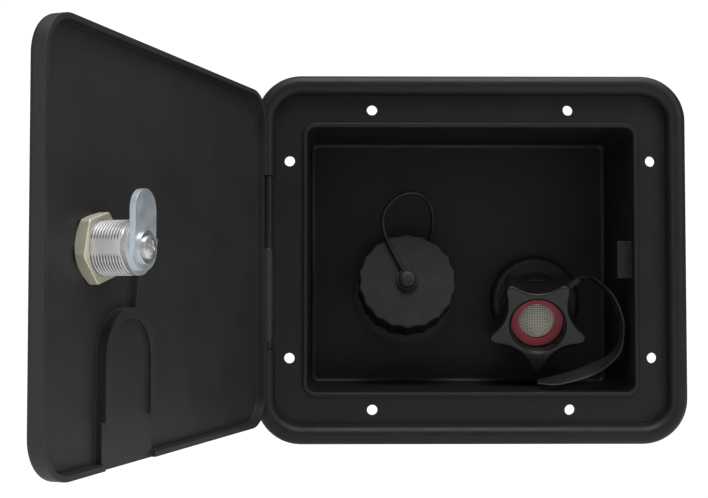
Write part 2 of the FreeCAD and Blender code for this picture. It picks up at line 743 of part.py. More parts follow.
spigot_bore_len = S.fill_base_t + S.back_t + S.spigot_len + past
spigot_foot = fill_foot - INTO * S.fill_base_t.value
spigot_bore = cylinder("spigot_bore", S.spigot_bore_r, spigot_bore_len, spigot_foot, INTO)
fill_bores = fuse("fill_bores", [neck_bore, spigot_bore])
fill_neck = cut("fill_neck", neck_solid, fill_bores)
fill_neck.Label = "fill_neck"
nodes.append(fill_neck)

# Fill cap: a screw cap with a scalloped edge.
cap = new_body("fill_cap")
sk = sketch(cap, "cap_outline", 0, "XY_Plane")
circle(sk, 0, 0, S.cap_r)
cap_round = pad(cap, "cap_round", sk, S.cap_h)
doc.recompute()
cap_edge = cap.newObject("PartDesign::Chamfer", "cap_edge")
cap_top = [i for i, e in enumerate(cap_round.Shape.Edges, start=1) if e.BoundBox.ZMin > S.cap_h.value / 2]
cap_edge.Base = (cap_round, ["Edge%d" % i for i in cap_top])
cap_edge.Size = S.cap_edge.value
bind(cap_edge, "Size", S.cap_edge)
sk = sketch(cap, "cap_inside_outline", 0, "XY_Plane")
circle(sk, 0, 0, S.fill_neck_r + S.cap_gap)
pocket(cap, "cap_inside", sk, S.cap_h - S.cap_wall, outward=True)
sk = sketch(cap, "scallop_outline", 0, "XY_Plane")
circle(sk, S.cap_r + S.scallop_r - S.scallop_deep, 0, S.scallop_r)
scallop = pocket(cap, "scallop", sk, S.cap_h + past, outward=True)
ring = cap.newObject("PartDesign::PolarPattern", "scallop_ring")
ring.Originals = [scallop]
ring.Axis = (origin_item(cap, "Z_Axis"), [""])
ring.Angle = 360
ring.Occurrences = int(S.scallops.value)
bind(ring, "Occurrences", S.scallops)
cap.Tip = ring
cap_turn = Rotation(Vector(0, 0, 1), fill_dir)
cap.Placement = Placement(cap_foot, cap_turn)

# Stud in the middle of the cap, on which the tether's eye turns.
stem = cylinder("stud_stem", S.stud_r, S.stud_h, cap_face, fill_dir)
knob = cylinder("stud_knob", S.stud_head_r, S.stud_head_h, cap_face + fill_dir * S.stud_h.value, fill_dir)
stud = fuse("cap_stud", [stem, knob])
stud.Label = "cap_stud"
nodes.append(stud)

# Cap tether: a thin moulded strap from the stud in a loop to a flat ring on the neck's flange.
tether = doc.addObject("Part::Feature", "fill_tether")
tether.Label = "fill_tether"
thick = S.tether_t.value
eye_at = cap_face + fill_dir * S.eye_gap.value
eye_out = Part.makeCylinder(S.stud_r.value + S.eye_w.value, thick, eye_at, fill_dir)
eye_in = S.stud_r.value + S.pipe_gap.value
eye_hole = Part.makeCylinder(eye_in, thick * 3, eye_at - fill_dir * thick, fill_dir)
level = eye_at + fill_dir * (thick / 2)
up = fill_dir.cross(Vector(1, 0, 0))
ring_lift = S.fill_base_t.value + S.ring_gap.value
ring_mid = fill_foot + Vector(0, -ring_lift, ring_lift * math.tan(fill_tilt))
ring_in = S.fill_neck_r.value / math.cos(fill_tilt) + S.ring_gap.value * 2
ring_out = Part.makeCylinder(ring_in + S.ring_w.value, S.ring_t.value, ring_mid, -INTO)
ring_hole = Part.makeCylinder(ring_in, S.ring_t.value * 3, ring_mid + INTO * S.ring_t.value, -INTO)
ring_far = ring_in + S.ring_w.value / 2
ring_end = ring_mid + Vector(ring_far * 0.45, -S.ring_t.value, ring_far * 0.893)
run = S.tether_run.value
path = [
    level + up * (run * 0.0975) + Vector(-0.0475, 0, 0) * run,
    level + up * (run * 0.3) + Vector(-0.145, 0, 0) * run,
    level + up * (run * 0.55) + Vector(-0.26, 0, 0) * run,
    level + Vector(-0.298, 0.14, 0.678) * run,
    level + Vector(-0.283, 0.14, 0.815) * run,
    level + Vector(-0.2, 0.15, 0.953) * run,
    level + Vector(-0.038, 0.2, 1.065) * run,
    ring_end + Vector(-0.095, -0.36, 0.74) * run,
    ring_end + Vector(0.055, -0.235, 0.615) * run,
    ring_end + Vector(0.098, -0.115, 0.39) * run,
    ring_end + Vector(0.055, -0.022, 0.15) * run,
    ring_end,
]
spine = Part.BSplineCurve()
spine.interpolate(path)
spine = spine.toShape()
section = Part.makeCircle(S.tether_w.value / 2, path[0], spine.tangentAt(spine.FirstParameter))
strap = Part.Wire([spine]).makePipeShell([Part.Wire([section])], True, False)
holes = Part.makeCompound([eye_hole, ring_hole])
tether.Shape = strap.fuse([eye_out, ring_out]).cut(holes).removeSplitter()
nodes.append(tether)

# City water inlet: a flange on the tub's back, an angled hub, and a neck with a collar for the swivel nut.
aside = math.tan(math.radians(S.inlet_left.value))
down = math.tan(math.radians(S.inlet_down.value))
inlet_dir = Vector(-aside, -1, -down)
inlet_dir.normalize()
inlet_foot = Vector(S.inlet_x.value, S.tub_depth.value, S.inlet_z.value)
inlet_turn = Rotation(Vector(0, 0, 1), inlet_dir)
nut_foot = inlet_foot + inlet_dir * (S.hub_len.value + S.nut_gap.value)
sunk = S.hub_r / 2
hub = cylinder("hub_round", S.hub_r, S.hub_len + sunk, inlet_foot - inlet_dir * sunk.value, inlet_dir)
neck_run = S.hub_len + S.nut_gap + S.nut_h - S.nut_thread_deep - S.nut_seat_deep + S.collar_gap
neck_i = cylinder("inlet_neck", S.neck_r, neck_run, inlet_foot, inlet_dir)
collar = cylinder("inlet_collar", S.collar_r, S.collar_t, inlet_foot + inlet_dir * neck_run.value, inlet_dir)
hub_front = cut("hub_front", fuse("hub_solid", [hub, neck_i, collar]), behind)
base_round = cylinder("inlet_base_round", S.inlet_base_r, S.inlet_base_t, inlet_foot, -INTO)
doc.recompute()
inlet_base = doc.addObject("Part::Fillet", "inlet_base")
inlet_base.Base = base_round
front_y = (S.tub_depth - S.inlet_base_t).value
front_edge = [i for i, e in enumerate(base_round.Shape.Edges, start=1) if at_level(e, front_y)][0]
inlet_base.Edges = [(front_edge, S.inlet_base_round.value, S.inlet_base_round.value)]
root_len = S.back_t + S.tail_nut_t
tail_root = cylinder("inlet_tail_root", S.tail_root_r, root_len, inlet_foot, INTO)
tail = cylinder("inlet_tail", S.tail_r, root_len + S.tail_len, inlet_foot, INTO)
inlet_solid = fuse("inlet_solid", [hub_front, inlet_base, tail_root, tail])
front_bore = cylinder("inlet_front_bore", S.tail_bore_r, neck_run * 2, inlet_foot, inlet_dir)
tail_foot = inlet_foot - INTO * (S.tail_bore_r / 2).value
tail_bore = cylinder("inlet_tail_bore", S.tail_bore_r, (root_len + S.tail_len) * 2, tail_foot, INTO)
inlet_body = cut("inlet_body", inlet_solid, fuse("inlet_bores", [front_bore, tail_bore]))
inlet_body.Label = "inlet_body"
nodes.append(inlet_body)

# Swivel nut: five lobes for the fingers and a socket with the hose thread.
nut = new_body("swivel_nut")
sk = sketch(nut, "nut_outline", 0, "XY_Plane")
circle(sk, 0, 0, S.nut_r)
pad(nut, "nut_round", sk, S.nut_h)
sk = sketch(nut, "nut_valley_outline", 0, "XY_Plane")
circle(sk, S.nut_valley_off, 0, S.nut_valley_r)
valley = pocket(nut, "nut_valley", sk, S.nut_h + 1, outward=True)
lobes = nut.newObject("PartDesign::PolarPattern", "nut_lobes")
lobes.Originals = [valley]
lobes.Axis = (origin_item(nut, "Z_Axis"), [""])
lobes.Angle = 360
lobes.Occurrences = 5
nut.Tip = lobes
tips = round_edges(nut, "nut_tips", lobes, S.nut_tip_round, lambda e: runs_along(e, Vector(0, 0, 1)))
round_edges(nut, "nut_front_edge", tips, S.nut_edge_round, lambda e: e.BoundBox.ZMin > S.nut_h.value - past / 2)
sk = sketch(nut, "nut_hole_outline", 0, "XY_Plane")
circle(sk, 0, 0, S.neck_r + S.neck_gap)
pocket(nut, "nut_hole", sk, S.nut_h, outward=True)
sk = sketch(nut, "nut_seat_outline", S.nut_h, "XY_Plane")
circle(sk, 0, 0, S.nut_seat_r)
pocket(nut, "nut_seat", sk, S.nut_thread_deep + S.nut_seat_deep)
sk = sketch(nut, "nut_thread_outline", S.nut_h, "XY_Plane")
circle(sk, 0, 0, S.nut_thread_r)
pocket(nut, "nut_thread", sk, S.nut_thread_deep)
nut_spin = Rotation(Vector(0, 0, 1), S.nut_turn.value)
nut.Placement = Placement(nut_foot, inlet_turn.multiply(nut_spin))

# Red hose washer on the collar, and the domed strainer screen in it.
seat = inlet_foot + inlet_dir * (neck_run.value + S.collar_t.value)
washer_out = cylinder("washer_round", S.washer_r, S.washer_t, seat, inlet_dir)
below = seat - inlet_dir * S.washer_t.value
washer_hole = cylinder("washer_hole", S.washer_hole_r, S.washer_t * 3, below, inlet_dir)
washer = cut("inlet_washer", washer_out, washer_hole)
washer.Label = "inlet_washer"
nodes.append(washer)
screen = doc.addObject("Part::Feature", "inlet_screen")
screen.Label = "inlet_screen"
rise = S.screen_rise.value
ball_r = (S.screen_r.value ** 2 + rise ** 2) / (2 * rise)
dome_foot = seat + inlet_dir * S.screen_step.value
ball = Part.makeSphere(ball_r, dome_foot + inlet_dir * (rise - ball_r))
skirt = Part.makeCylinder(S.screen_r.value, rise * 2, dome_foot, inlet_dir)
disc = Part.makeCylinder(S.screen_r.value, S.screen_step.value, seat, inlet_dir)
screen.Shape = ball.common(skirt).fuse(disc).removeSplitter()
nodes.append(screen)

# Nut that holds the inlet's tail behind the tub.
tail_nut = new_body("tail_nut")
sk = sketch(tail_nut, "tail_nut_outline", S.tub_depth + S.back_t)
corner = S.tail_nut_flats / math.sqrt(3)
polygon(sk, [(S.inlet_x + corner * c, S.inlet_z + corner * s) for c, s in turns])
circle(sk, S.inlet_x, S.inlet_z, S.tail_root_r + S.screw_gap)
pad(tail_nut, "tail_nut_plate", sk, S.tail_nut_t, inward=True)

# Plug strap: a loop of flat moulded strap from a ring on the neck behind the swivel nut.
loop = doc.addObject("Part::Feature", "plug_strap")
loop.Label = "plug_strap"
loop_t = S.ring_t.value
loop_at = inlet_foot + inlet_dir * (S.hub_len.value + S.ring_gap.value)
loop_out = Part.makeCylinder(S.neck_r.value + S.ring_w.value, loop_t, loop_at, inlet_dir)
loop_in = S.neck_r.value + S.ring_gap.value
loop_hole = Part.makeCylinder(loop_in, loop_t * 3, loop_at - inlet_dir * loop_t, inlet_dir)
loop_mid = loop_at + inlet_dir * (loop_t / 2)
sideways = Vector(0.75, 0, 0.66)
sideways = sideways - inlet_dir * sideways.dot(inlet_dir)
sideways.normalize()
right = S.open_w.value / 2 - S.strap_aside.value
low = S.strap_low.value - S.open_h.value / 2
turn_z = S.inlet_z.value
deep = S.tub_depth.value
loop_path = [
    loop_mid + sideways * (S.neck_r.value + S.ring_w.value * 0.6),
    loop_mid + sideways * (S.nut_r.value * 0.8),
    loop_mid + sideways * (S.nut_r.value + past * 1.5),
    Vector(right - 11.0, deep * 0.49, turn_z + 11.8),
    Vector(right - 6.5, deep * 0.364, turn_z + 8.0),
    Vector(right - 2.5, deep * 0.236, turn_z + 1.5),
    Vector(right - 0.2, deep * 0.145, turn_z - 7.0),
    Vector(right, deep * 0.11, turn_z - 14.0),
    Vector(right - 2.8, deep * 0.118, low + 14.0),
    Vector(right - 14.0, deep * 0.173, low + 6.0),
    Vector(right - 28.5, deep * 0.2, low + 1.2),
    Vector(right - 39.5, deep * 0.236, low),
]
loop_wide = [inlet_dir.cross(sideways)] * 3
loop_wide = loop_wide + [Vector(0.1, -1, -0.1)] + [Vector(0, -1, 0)] * 4
loop_wide = loop_wide + [Vector(0, -1, -0.25), Vector(0, -0.8, -0.6)]
loop_wide = loop_wide + [Vector(0, -0.85, -0.5), Vector(0, -0.97, -0.25)]
loop_strap = ribbon(loop_path, loop_wide, S.strap_w.value, S.strap_t.value)
loop.Shape = loop_strap.fuse(loop_out).cut(loop_hole).removeSplitter()
nodes.append(loop)

doc.recompute()
bad = [obj.Name for obj in doc.Objects if "Invalid" in obj.State or "Error" in obj.State]
if bad:
    raise RuntimeError("objects in error: " + ", ".join(bad))
for node in nodes:
    if node.Shape.isNull() or not node.Shape.isValid():
        raise RuntimeError("bad shape: " + node.Label)
os.makedirs("parts", exist_ok=True)
for node in nodes:
    node.Shape.exportStep("parts/%s.step" % node.Label)
    print(node.Label, len(node.Shape.Solids), round(node.Shape.Volume, 1), node.Shape.BoundBox)
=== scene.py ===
import math
import bmesh
import bpy
from mathutils import Matrix, Vector


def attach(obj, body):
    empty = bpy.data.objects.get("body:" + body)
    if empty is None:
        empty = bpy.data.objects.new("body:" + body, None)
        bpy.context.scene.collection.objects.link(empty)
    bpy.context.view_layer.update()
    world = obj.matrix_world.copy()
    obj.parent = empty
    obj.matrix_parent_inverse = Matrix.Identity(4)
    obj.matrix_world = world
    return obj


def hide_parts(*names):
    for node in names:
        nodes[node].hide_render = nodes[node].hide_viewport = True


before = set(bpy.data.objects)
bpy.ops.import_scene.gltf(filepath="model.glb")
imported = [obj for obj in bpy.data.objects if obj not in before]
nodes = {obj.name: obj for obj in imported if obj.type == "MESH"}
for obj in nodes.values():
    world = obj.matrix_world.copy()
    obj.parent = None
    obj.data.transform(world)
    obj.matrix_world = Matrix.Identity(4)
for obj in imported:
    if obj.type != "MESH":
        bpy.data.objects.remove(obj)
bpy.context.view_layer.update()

# Frame: one injection moulding in black ABS, with a rolled rim, a ledge for eight screws and the tub.
# The mould's face was spark-eroded, so the skin has a fine even grain and a satin sheen.
# The vehicle's wall is clamped behind the ledge, and the rim hides the cut edge.
FLOAT, VECTOR = "NodeSocketFloat", "NodeSocketVector"


def set_values(node, values):
    for name, value in values.items():
        node.inputs[name.replace("_", " ")].default_value = value


def add_node(tree, kind, **values):
    """A node with its plain values set, by socket name."""
    made = tree.nodes.new(kind)
    set_values(made, values)
    return made


def add_math(tree, kind, operation):
    made = tree.nodes.new(kind)
    made.operation = operation
    return made


def wire(tree, *runs):
    """Links, each given as a node, its output, the next node and its input."""
    for giver, output, taker, socket in runs:
        tree.links.new(giver.outputs[output], taker.inputs[socket])


def finish_group(name, inputs, outputs):
    """An empty node group with float inputs and the outputs that a finish needs."""
    tree = bpy.data.node_groups.new(name, "ShaderNodeTree")
    for label, value in inputs.items():
        socket = tree.interface.new_socket(label, in_out="INPUT", socket_type=FLOAT)
        socket.default_value = value
    for label, kind in outputs.items():
        tree.interface.new_socket(label, in_out="OUTPUT", socket_type=kind)
    return tree, tree.nodes.new("NodeGroupInput"), tree.nodes.new("NodeGroupOutput")


def place_group(tree, group, **values):
    """A finish group placed in a material, with its own values."""
    made = tree.nodes.new("ShaderNodeGroup")
    made.node_tree = group
    set_values(made, values)
    return made


def mix_colours(tree, first=None, second=None):
    """A colour mix, with the colours that nothing feeds set on its sockets."""
    made = tree.nodes.new("ShaderNodeMix")
    made.data_type = "RGBA"
    for socket, colour in (("A", first), ("B", second)):
        if colour:
            made.inputs[socket].default_value = (*colour, 1)
    return made


def new_finish(name):
    """A material, its node tree and its Principled shader."""
    made = bpy.data.materials.new(name)
    made.use_nodes = True
    return made, made.node_tree, made.node_tree.nodes["Principled BSDF"]


def patchy_sheen(tree, smooth, dull):
    """A roughness that goes from smooth to dull with the patches of a finish."""
    return add_node(tree, "ShaderNodeMapRange", From_Min=0.3, From_Max=0.7, To_Min=smooth, To_Max=dull)


# The grain of a spark-eroded mould: fine pits, with slow patches where the skin is a little duller.
grain, g_in, g_out = finish_group("mould_grain", {"Grain Scale": 2600.0, "Patch Scale": 45.0},
                                  {"Height": FLOAT, "Patch": FLOAT})
place = grain.nodes.new("ShaderNodeTexCoord")
pits = add_node(grain, "ShaderNodeTexNoise", Detail=3.0, Roughness=0.6)
patch = add_node(grain, "ShaderNodeTexNoise", Detail=4.0, Roughness=0.55)
wire(grain,
     (place, "Object", pits, "Vector"), (place, "Object", patch, "Vector"),
     (g_in, "Grain Scale", pits, "Scale"), (g_in, "Patch Scale", patch, "Scale"),
     (pits, "Fac", g_out, "Height"), (patch, "Fac", g_out, "Patch"))

# Handled edges: the corners of a moulding or a casting are rounded and made brighter, as rubbed wear and,
# where a finish lifts them far, as a painted highlight.
edges, e_in, e_out = finish_group("rubbed_edges_and_highlight", {"Radius": 0.0004, "Contrast": 6.0},
                                  {"Mask": FLOAT, "Normal": VECTOR})
bevel = edges.nodes.new("ShaderNodeBevel")
bevel.samples = 6
surface = edges.nodes.new("ShaderNodeNewGeometry")
turn = add_math(edges, "ShaderNodeVectorMath", "DOT_PRODUCT")
off = add_math(edges, "ShaderNodeMath", "SUBTRACT")
off.inputs[0].default_value = 1.0
lift = add_math(edges, "ShaderNodeMath", "MULTIPLY")
lift.use_clamp = True
wire(edges,
     (e_in, "Radius", bevel, "Radius"), (bevel, "Normal", turn, 0), (surface, "Normal", turn, 1),
     (turn, "Value", off, 1), (off, "Value", lift, 0), (e_in, "Contrast", lift, 1),
     (lift, "Value", e_out, "Mask"), (bevel, "Normal", e_out, "Normal"))

# Shop dust: a thin pale film that settles on what faces up, in soft blotches.
dust, d_in, d_out = finish_group("shop_dust", {"Amount": 0.3}, {"Mask": FLOAT})
dust_pale = (0.16, 0.155, 0.145)
place = dust.nodes.new("ShaderNodeTexCoord")
blotch = add_node(dust, "ShaderNodeTexNoise", Scale=160.0, Detail=6.0, Roughness=0.65)
speck = add_node(dust, "ShaderNodeMapRange", From_Min=0.45, From_Max=0.75, To_Min=0.0, To_Max=1.0)
surface = dust.nodes.new("ShaderNodeNewGeometry")
split = dust.nodes.new("ShaderNodeSeparateXYZ")
upward = add_node(dust, "ShaderNodeMapRange", From_Min=-0.2, From_Max=1.0, To_Min=0.12, To_Max=1.0)
both = add_math(dust, "ShaderNodeMath", "MULTIPLY")
thin = add_math(dust, "ShaderNodeMath", "MULTIPLY")
wire(dust,
     (place, "Object", blotch, "Vector"), (blotch, "Fac", speck, "Value"),
     (surface, "Normal", split, "Vector"), (split, "Z", upward, "Value"),
     (speck, "Result", both, 0), (upward, "Result", both, 1),
     (both, "Value", thin, 0), (d_in, "Amount", thin, 1), (thin, "Value", d_out, "Mask"))


def moulded_black(name, tone, rough, gloss=0.3, grain_scale=2600.0, grain_deep=0.00004,
                  dusty=0.05, edge=0.0004, wear_and_highlight_up=2.2):
    """Black moulded plastic: grain in the skin, edges paler as rubbed wear and as painted highlight, and a
    little dust.
    """
    made, tree, skin = new_finish(name)
    skin.inputs["Specular IOR Level"].default_value = gloss
    pits = place_group(tree, grain, Grain_Scale=grain_scale)
    edge_mask = place_group(tree, edges, Radius=edge, Contrast=5.0)
    film = place_group(tree, dust, Amount=dusty)
    body = mix_colours(tree, (tone * 0.85, tone * 0.85, tone * 0.86), (tone * 1.15, tone * 1.15, tone * 1.16))
    # Edge tone lifted by wear_and_highlight_up: rubbed wear at the default, a painted highlight where it is
    # set high.
    paler_edges = mix_colours(tree, second=(tone * wear_and_highlight_up,) * 3)
    pale = mix_colours(tree, second=dust_pale)
    dull = patchy_sheen(tree, rough - 0.05, rough + 0.06)
    bump = add_node(tree, "ShaderNodeBump", Strength=0.35, Distance=grain_deep)
    wire(tree,
         (pits, "Patch", body, "Factor"), (body, "Result", paler_edges, "A"), (edge_mask, "Mask", paler_edges, "Factor"),
         (paler_edges, "Result", pale, "A"), (film, "Mask", pale, "Factor"), (pale, "Result", skin, "Base Color"),
         (pits, "Patch", dull, "Value"), (dull, "Result", skin, "Roughness"),
         (pits, "Height", bump, "Height"), (edge_mask, "Normal", bump, "Normal"),
         (bump, "Normal", skin, "Normal"))
    return made


def dress(node, material):
    """Give a CAD node its finish."""
    piece = nodes[node]
    piece.data.materials.clear()
    piece.data.materials.append(material)


dress("hatch_frame", moulded_black("frame_black", 0.0080, 0.44, 0.25))

# Hinge pin: a bright steel rod pressed through the frame's two knuckles.
# It was cut from drawn wire, so fine lines run along and round it.

# Drawn or turned metal: fine lines along one direction that catch the light.
lines, l_in, l_out = finish_group("tool_lines", {"Along X": 40.0, "Along Y": 40.0, "Along Z": 4000.0},
                                  {"Height": FLOAT, "Patch": FLOAT})
place = lines.nodes.new("ShaderNodeTexCoord")
spread = lines.nodes.new("ShaderNodeCombineXYZ")
pull = add_math(lines, "ShaderNodeVectorMath", "MULTIPLY")
streak = add_node(lines, "ShaderNodeTexNoise", Scale=1.0, Detail=4.0, Roughness=0.6)
patch = add_node(lines, "ShaderNodeTexNoise", Scale=220.0, Detail=3.0, Roughness=0.5)
wire(lines,
     *[(l_in, "Along " + axis, spread, axis) for axis in "XYZ"],
     (place, "Object", pull, 0), (spread, "Vector", pull, 1), (pull, "Vector", streak, "Vector"),
     (place, "Object", patch, "Vector"), (streak, "Fac", l_out, "Height"), (patch, "Fac", l_out, "Patch"))


def plated_metal(name, bright, dim, rough, lines_along=(400.0, 400.0, 4000.0), shine=0.85, edge=0.0002):
    """Plated metal: a bright and a dim tone in patches, tool lines and rubbed edges."""
    made, tree, skin = new_finish(name)
    skin.inputs["Metallic"].default_value = shine
    along_x, along_y, along_z = lines_along
    marks = place_group(tree, lines, Along_X=along_x, Along_Y=along_y, Along_Z=along_z)
    edge_mask = place_group(tree, edges, Radius=edge, Contrast=4.0)
    tone = mix_colours(tree, dim, bright)
    paler_edges = mix_colours(tree, second=[min(1.0, c * 1.15) for c in bright])
    dull = patchy_sheen(tree, rough - 0.07, rough + 0.09)
    bump = add_node(tree, "ShaderNodeBump", Strength=0.3, Distance=0.00003)
    wire(tree,
         (marks, "Patch", tone, "Factor"), (tone, "Result", paler_edges, "A"), (edge_mask, "Mask", paler_edges, "Factor"),
         (paler_edges, "Result", skin, "Base Color"),
         (marks, "Patch", dull, "Value"), (dull, "Result", skin, "Roughness"),
         (marks, "Height", bump, "Height"), (edge_mask, "Normal", bump, "Normal"),
         (bump, "Normal", skin, "Normal"))
    return made


drawn_along_z = (3000.0, 3000.0, 60.0)
dress("hinge_pin", plated_metal("drawn_steel", (0.62, 0.62, 0.61), (0.46, 0.46, 0.46), 0.3, drawn_along_z))

# Door: a second moulding in the same black ABS, a shallow tray with a stiffening lip, its tone set lighter
# than the frame's as painted light.
# A dished finger pull is moulded in, and its knuckle turns on the hinge pin between the frame's two.
# Painted light: the tone, over twice the frame's, brightens the dimly lit inner face.
dress("door_panel", moulded_black("door_black_painted_light", 0.0178, 0.5, 0.34))

# Cam lock body: a plated zinc casting with a round head outside the door, and its thread roots painted dark
# as shade.
# The threaded barrel has two flats that stop it turning in the door's hole, and the flats are painted lighter
# as light falling on them.
hinge = Vector((-0.0945, -0.0055, 0.0))
swing = Matrix.Rotation(-math.radians(108.8), 4, "Z")
lock_along = 0.149
lock_at = Matrix.Translation(hinge) @ swing @ Matrix.Translation((lock_along, 0.0, 0.0))
barrel_r, barrel_flat, bore_r = 0.0095, 0.00856, 0.00645
head_r, head_back, head_front = 0.0115, -0.007, -0.005
thread_start, thread_end, barrel_end = -0.0022, 0.0131, 0.0139
thread_pitch, thread_deep, pitch_rows = 0.0011, 0.0006, 10
around, flat_within = 96, 0.00002
on_crest, on_root, on_flat = 0, 1, 2


def ring_of(mesh, count, point_at):
    """A closed ring of points, each placed by its share of a full turn."""
    return [mesh.verts.new(point_at(i / count)) for i in range(count)]


def about_y(reach, along, share):
    """A point at one reach from the Y axis, which is the lock's."""
    return reach * math.cos(share * math.tau), along, reach * math.sin(share * math.tau)


def skin_rings(mesh, rings, closed=False, smooth=False, inward=False):
    """Four-sided faces from each ring to the next, and to the first again where the form closes."""
    faces = []
    count = len(rings[0])
    for a, b in zip(rings, rings[1:] + (rings[:1] if closed else [])):
        for i in range(count):
            j = (i + 1) % count
            corners = (a[i], b[i], b[j], a[j]) if inward else (a[i], a[j], b[j], b[i])
            faces.append(mesh.faces.new(corners))
            faces[-1].smooth = smooth
    return faces


def add_piece(name, mesh, materials, place=Matrix(), face_out=True):
    """A named object made from a finished mesh."""
    if face_out:
        bmesh.ops.recalc_face_normals(mesh, faces=mesh.faces)
    data = bpy.data.meshes.new(name)
    mesh.to_mesh(data)
    mesh.free()
    for material in materials:
        data.materials.append(material)
    made = bpy.data.objects.new(name, data)
    bpy.context.scene.collection.objects.link(made)
    made.matrix_world = place
    return made


def thread_depth(along, share, pitch):
    """How deep a V thread is at a place along its axis, from 0 at the crest to 1 at the root."""
    return abs(((along / pitch - share) % 1.0) * 2.0 - 1.0)


def barrel_point(along, reach, share):
    """A point of the barrel: round, or threaded where no reach is given, and cut by the flats."""
    if reach is None:
        reach = barrel_r - thread_deep * thread_depth(along, share, thread_pitch)
    across, along, up = about_y(reach, along, share)
    if along > head_front:
        across = max(-barrel_flat, min(barrel_flat, across))
    return across, along, up


rows = int((thread_end - thread_start) / thread_pitch * pitch_rows)
profile = [
    (head_back, bore_r), (head_back, head_r - 0.0008), (head_back + 0.0003, head_r - 0.0002),
    (head_back + 0.0008, head_r), (head_front, head_r), (head_front, barrel_r), (thread_start, barrel_r),
    *[(thread_start + (thread_end - thread_start) * i / rows, None) for i in range(1, rows)],
    (thread_end, barrel_r - 0.0005), (barrel_end, barrel_r - 0.0011), (barrel_end, bore_r),
]
mesh = bmesh.new()
rings = [ring_of(mesh, around, lambda share: barrel_point(along, reach, share)) for along, reach in profile]
# Thread roots get the dark painted shade, and the flats get the lighter painted light.
for k, face in enumerate(skin_rings(mesh, rings, closed=True)):
    middle = face.calc_center_median()
    if thread_start < middle.y < thread_end:
        share = (k % around + 0.5) / around
        rooted = thread_depth(middle.y, share, thread_pitch) > 0.5
        flat = abs(middle.x) > barrel_flat - flat_within
        face.material_index = on_flat if flat else on_root if rooted else on_crest
cast_lines = (900.0, 900.0, 900.0)
zinc = plated_metal("plated_zinc", (0.66, 0.66, 0.67), (0.57, 0.57, 0.58), 0.36, cast_lines, 0.5)
# Painted shade: a dark copy of the zinc for the thread's roots.
painted_shade = plated_metal("painted_shade_root", (0.22, 0.22, 0.22), (0.15, 0.15, 0.15), 0.44, cast_lines, 0.5)
# Painted light: a brighter copy of the zinc for the flats that face the front lamps.
painted_light_flat = plated_metal("painted_light_flat", (0.92, 0.92, 0.92), (0.84, 0.84, 0.84), 0.42, cast_lines, 0.45)
lock_barrel = add_piece("lock_barrel", mesh, [zinc, painted_shade, painted_light_flat], lock_at)
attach(lock_barrel, "door")
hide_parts("lock_body")

# Hexagon nut that clamps the lock: pressed steel with a dull, warm yellow zinc coat.
# Its door side is coned, so the six corners are rounded off there and stay sharp in front.
clamp_seat, clamp_thick, clamp_half, clamp_hole = -0.00225, 0.0044, 0.01125, 0.0096
clamp_turn, clamp_around = math.radians(15.0), 144
cone_from, cone_slope, clamp_corner, clamp_break = 0.0114, 1.7, 0.0127, 0.0003
sixth = math.tau / 6


def clamp_point(along, inset, share):
    """A point of the hexagon's side, no further out than its corners and its cone."""
    off = (share * math.tau - clamp_turn + sixth / 2) % sixth - sixth / 2
    reach = min(clamp_half / math.cos(off), clamp_corner, cone_from + cone_slope * along)
    return about_y(reach - inset, clamp_seat + along, share)


mesh = bmesh.new()
sides = [(along, 0.0) for along in (0.0, 0.0003, 0.0006, 0.0009, clamp_thick - clamp_break)]
sides.append((clamp_thick, clamp_break))
rings = [ring_of(mesh, clamp_around, lambda share: clamp_point(along, inset, share))
         for along, inset in sides]
for along in (clamp_thick, 0.0):
    rings.append(ring_of(mesh, clamp_around, lambda share: about_y(clamp_hole, clamp_seat + along, share)))
skin_rings(mesh, rings, closed=True)
pressed_lines = (700.0, 700.0, 700.0)
yellow = plated_metal("yellow_zinc", (0.64, 0.61, 0.48), (0.52, 0.5, 0.39), 0.46, pressed_lines, 0.35)
clamp_nut = add_piece("clamp_nut", mesh, [yellow], lock_at)
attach(clamp_nut, "door")
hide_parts("lock_nut")

# Lock plug, stop washer and cam: the plug is cast, and the other two are stamped from zinc plated steel.
# They fit on the plug's square drive, so all three turn together when the key turns.
# The cam's plating is cooler and bluish, with fine lines from its rolling.
cam_lines = (300.0, 300.0, 2600.0)
dress("lock_plug", zinc)
dress("stop_washer", plated_metal("stamped_zinc", (0.72, 0.73, 0.75), (0.6, 0.61, 0.63), 0.42))
dress("lock_cam", plated_metal("stamped_cam", (0.7, 0.77, 0.82), (0.56, 0.63, 0.69), 0.38, cam_lines, 0.75))

# Washer and pan head screw that hold the cam: bright plated steel.
# The screw is run into the plug's end with a cross-tipped driver.
bright_steel = plated_metal("bright_steel", (0.7, 0.71, 0.71), (0.58, 0.59, 0.59), 0.28, cast_lines)
dress("cam_washer", bright_steel)
pan_seat, pan_r, pan_edge, pan_rise = 0.0189, 0.0039, 0.0007, 0.0009
shank_r, shank_long = 0.0020, 0.0090
cross_half, cross_reach, cross_deep, cross_wall = 0.0006, 0.0024, 0.0013, 0.00018
cross_turn = math.radians(12.0)
pan_rings, pan_around = 32, 128


def pan_height(reach, share):
    """The low dome of the screw's head, with the cross pressed into it."""
    spot = share * math.tau - cross_turn
    x, z = abs(reach * math.cos(spot)), abs(reach * math.sin(spot))
    wall = max(0.0, min(1.0, (cross_half - min(x, z)) / cross_wall))
    sunk = cross_deep * wall * max(0.0, 1.0 - max(x, z) / cross_reach) ** 0.6
    return pan_edge + pan_rise * (1.0 - (reach / pan_r) ** 2) - sunk


